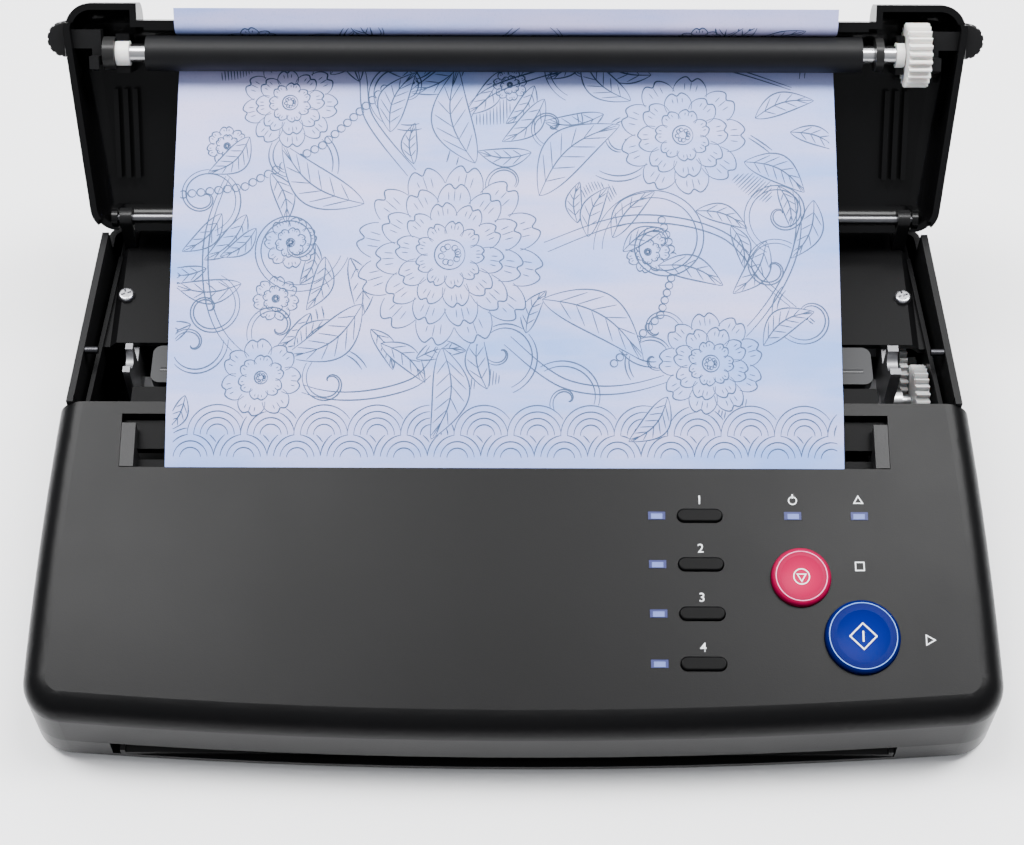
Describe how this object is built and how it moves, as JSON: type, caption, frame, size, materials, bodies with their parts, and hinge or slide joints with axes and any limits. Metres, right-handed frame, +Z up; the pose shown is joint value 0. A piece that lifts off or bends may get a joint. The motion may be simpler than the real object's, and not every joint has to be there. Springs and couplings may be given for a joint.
{
  "type": "thermal stencil copier",
  "caption": "Desktop thermal stencil copier: low body with sloping control panel, document recess and exit slot, and a hinged rear lid, open, that carries the platen over the print head.",
  "frame": {"origin": "middle of the whole machine's footprint at table height, lid open", "axes": "+X to the right as one faces the controls, +Y towards the rear, +Z up"},
  "size_m": [0.3056, 0.2256, 0.1192],
  "materials": {
    "casing_black": "satin black moulding",
    "cover_black": "fine satin black moulding",
    "frame_steel": "dark zinc",
    "pin_steel": "turned",
    "clip_steel": "blackened spring steel",
    "gear_white": "natural acetal",
    "deck_black": "fine grain black",
    "screw_steel": "plated",
    "head_ceramic": "glazed dark ceramic and cover",
    "sink_aluminium": "extruded",
    "bracket_steel": "pressed",
    "spring_steel": "sprung strip",
    "motor_steel": "pressed can",
    "pinion_brass": "hobbed",
    "roller_rubber": "ground rubber",
    "shaft_steel": "ground",
    "bush_plastic": "moulded",
    "chute_black": "smooth black",
    "scan_glass": "clear",
    "sensor_black": "moulded",
    "pinch_plastic": "acetal",
    "board_green": "solder resist",
    "inlet_black": "moulded",
    "rocker_black": "polished",
    "key_black": "polished",
    "button_pink": "dished",
    "button_blue": "dished",
    "lamp_blue": "clear window",
    "guide_black": "moulded",
    "foot_rubber": "moulded",
    "sheet_paper": "thin lilac stencil paper with blue lines",
    "lid_gloss": "gloss black",
    "bush_white": "natural acetal",
    "collar_black": "moulded",
    "lever_black": "ribbed"
  },
  "bodies": {
    "body": {"base_casing": "casing_black", "front_cover": "cover_black", "side_frame_left": "frame_steel", "side_frame_right": "frame_steel", "gear_pins": "pin_steel", "gear_clips": "clip_steel", "deck_plate": "deck_black", "pocket_walls": "deck_black", "deck_screws": "screw_steel", "head_springs": "spring_steel", "chassis_bridge": "frame_steel", "stepper_motor": "motor_steel", "feed_bushes": "bush_plastic", "lower_chute": "chute_black", "scan_glass": "scan_glass", "scan_sensor": "sensor_black", "main_board": "board_green", "power_inlet": "inlet_black", "power_switch": "inlet_black", "mode_lamps": "lamp_blue", "status_lamps": "lamp_blue", "key_board": "board_green", "guide_track": "chute_black", "hinge_rod": "shaft_steel", "catch_pins": "pin_steel", "rubber_feet": "foot_rubber", "casing_screws": "screw_steel", "stencil_sheet": "sheet_paper"},
    "lid": {"lid_shell": "lid_gloss", "platen_bushes": "bush_white"},
    "platen": {"platen_roller": "roller_rubber", "platen_shaft": "shaft_steel", "platen_gear": "gear_white", "shaft_collars": "collar_black"},
    "latch_left": {"latch_lever_left": "lever_black"},
    "latch_right": {"latch_lever_right": "lever_black"},
    "feed": {"feed_roller": "roller_rubber", "feed_shaft": "shaft_steel", "feed_gear": "gear_white"},
    "feed_idler": {"feed_idler_gear": "gear_white"},
    "drive": {"drive_gear": "gear_white"},
    "reduction": {"reduction_gear": "gear_white"},
    "motor_rotor": {"motor_shaft": "pin_steel", "motor_pinion": "pinion_brass"},
    "pinch": {"pinch_roller": "pinch_plastic"},
    "key_1": {"mode_key_1": "key_black"},
    "key_2": {"mode_key_2": "key_black"},
    "key_3": {"mode_key_3": "key_black"},
    "key_4": {"mode_key_4": "key_black"},
    "stop": {"stop_button": "button_pink"},
    "copy": {"copy_button": "button_blue"},
    "guide_left": {"paper_guide_left": "guide_black"},
    "guide_right": {"paper_guide_right": "guide_black"},
    "guide_wheel": {"guide_pinion": "gear_white"},
    "rocker": {"power_rocker": "rocker_black"},
    "print_head": {"thermal_head": "head_ceramic", "head_heat_sink": "sink_aluminium", "head_bracket": "bracket_steel"}
  },
  "joints": [
    {"name": "lid_hinge", "type": "hinge", "parent": "body", "child": "lid", "pos_m": [0, 0.05922, 0.064], "axis": [1, 0, 0], "range_deg": [0, 138], "deforming": ["stencil_sheet"]},
    {"name": "platen_spin", "type": "hinge", "parent": "lid", "child": "platen", "pos_m": [0, 0.09619, 0.10364], "axis": [1, 0, 0], "continuous": true},
    {"name": "latch_left_slide", "type": "slide", "parent": "lid", "child": "latch_left", "axis": [0, 0.682, 0.7314], "range_m": [0, 0.0018], "stiffness_N_per_m": 400, "springref_m": -0.001},
    {"name": "latch_right_slide", "type": "slide", "parent": "lid", "child": "latch_right", "axis": [0, 0.682, 0.7314], "range_m": [0, 0.0018], "stiffness_N_per_m": 400, "springref_m": -0.001},
    {"name": "feed_roller_spin", "type": "hinge", "parent": "body", "child": "feed", "pos_m": [0, -0.04974, 0.02608], "axis": [1, 0, 0], "continuous": true},
    {"name": "feed_idler_spin", "type": "hinge", "parent": "body", "child": "feed_idler", "pos_m": [0, -0.02363, 0.03069], "axis": [1, 0, 0], "continuous": true},
    {"name": "drive_gear_spin", "type": "hinge", "parent": "body", "child": "drive", "pos_m": [0, 0.00341, 0.03844], "axis": [1, 0, 0], "continuous": true},
    {"name": "reduction_gear_spin", "type": "hinge", "parent": "body", "child": "reduction", "pos_m": [0, 0.01875, 0.02958], "axis": [1, 0, 0], "continuous": true},
    {"name": "motor_spin", "type": "hinge", "parent": "body", "child": "motor_rotor", "pos_m": [0, 0.03778, 0.02622], "axis": [1, 0, 0], "continuous": true},
    {"name": "pinch_roller_spin", "type": "hinge", "parent": "body", "child": "pinch", "pos_m": [0, -0.04974, 0.03498], "axis": [1, 0, 0], "continuous": true},
    {"name": "mode_key_1_press", "type": "slide", "parent": "body", "child": "key_1", "axis": [0, 0.2261, -0.9741], "range_m": [0, 0.0008], "stiffness_N_per_m": 400, "springref_m": -0.0006},
    {"name": "mode_key_2_press", "type": "slide", "parent": "body", "child": "key_2", "axis": [0, 0.2261, -0.9741], "range_m": [0, 0.0008], "stiffness_N_per_m": 400, "springref_m": -0.0006},
    {"name": "mode_key_3_press", "type": "slide", "parent": "body", "child": "key_3", "axis": [0, 0.2261, -0.9741], "range_m": [0, 0.0008], "stiffness_N_per_m": 400, "springref_m": -0.0006},
    {"name": "mode_key_4_press", "type": "slide", "parent": "body", "child": "key_4", "axis": [0, 0.2261, -0.9741], "range_m": [0, 0.0008], "stiffness_N_per_m": 400, "springref_m": -0.0006},
    {"name": "stop_button_press", "type": "slide", "parent": "body", "child": "stop", "axis": [0, 0.2261, -0.9741], "range_m": [0, 0.0012], "stiffness_N_per_m": 400, "springref_m": -0.0006},
    {"name": "copy_button_press", "type": "slide", "parent": "body", "child": "copy", "axis": [0, 0.2261, -0.9741], "range_m": [0, 0.0012], "stiffness_N_per_m": 400, "springref_m": -0.0006},
    {"name": "guide_left_slide", "type": "slide", "parent": "body", "child": "guide_left", "axis": [1, 0, 0], "range_m": [0, 0.0085]},
    {"name": "guide_right_slide", "type": "slide", "parent": "body", "child": "guide_right", "axis": [1, 0, 0], "range_m": [-0.0085, 0]},
    {"name": "guide_pinion_spin", "type": "hinge", "parent": "body", "child": "guide_wheel", "pos_m": [-0.003, -0.02353, 0.03761], "axis": [0, 0, 1], "range_deg": [0, 101.51]},
    {"name": "power_rocker_tilt", "type": "hinge", "parent": "body", "child": "rocker", "pos_m": [-0.062, 0.06302, 0.022], "axis": [0, 0, 1], "range_deg": [-16, 0]},
    {"name": "print_head_float", "type": "slide", "parent": "body", "child": "print_head", "axis": [0, 0, 1], "range_m": [-0.0008, 0], "stiffness_N_per_m": 8000, "springref_m": 0.003, "deforming": ["head_springs"]}
  ],
  "couplings": [
    {"joint": "feed_idler_spin", "follows": "feed_roller_spin", "ratio": -0.57143},
    {"joint": "drive_gear_spin", "follows": "feed_roller_spin", "ratio": 0.85714},
    {"joint": "reduction_gear_spin", "follows": "feed_roller_spin", "ratio": -1.5},
    {"joint": "motor_spin", "follows": "feed_roller_spin", "ratio": 4.5},
    {"joint": "pinch_roller_spin", "follows": "feed_roller_spin", "ratio": -2.3077},
    {"joint": "guide_right_slide", "follows": "guide_left_slide", "ratio": -1},
    {"joint": "guide_pinion_spin", "follows": "guide_left_slide", "rad_per_m": 208.33}
  ]
}
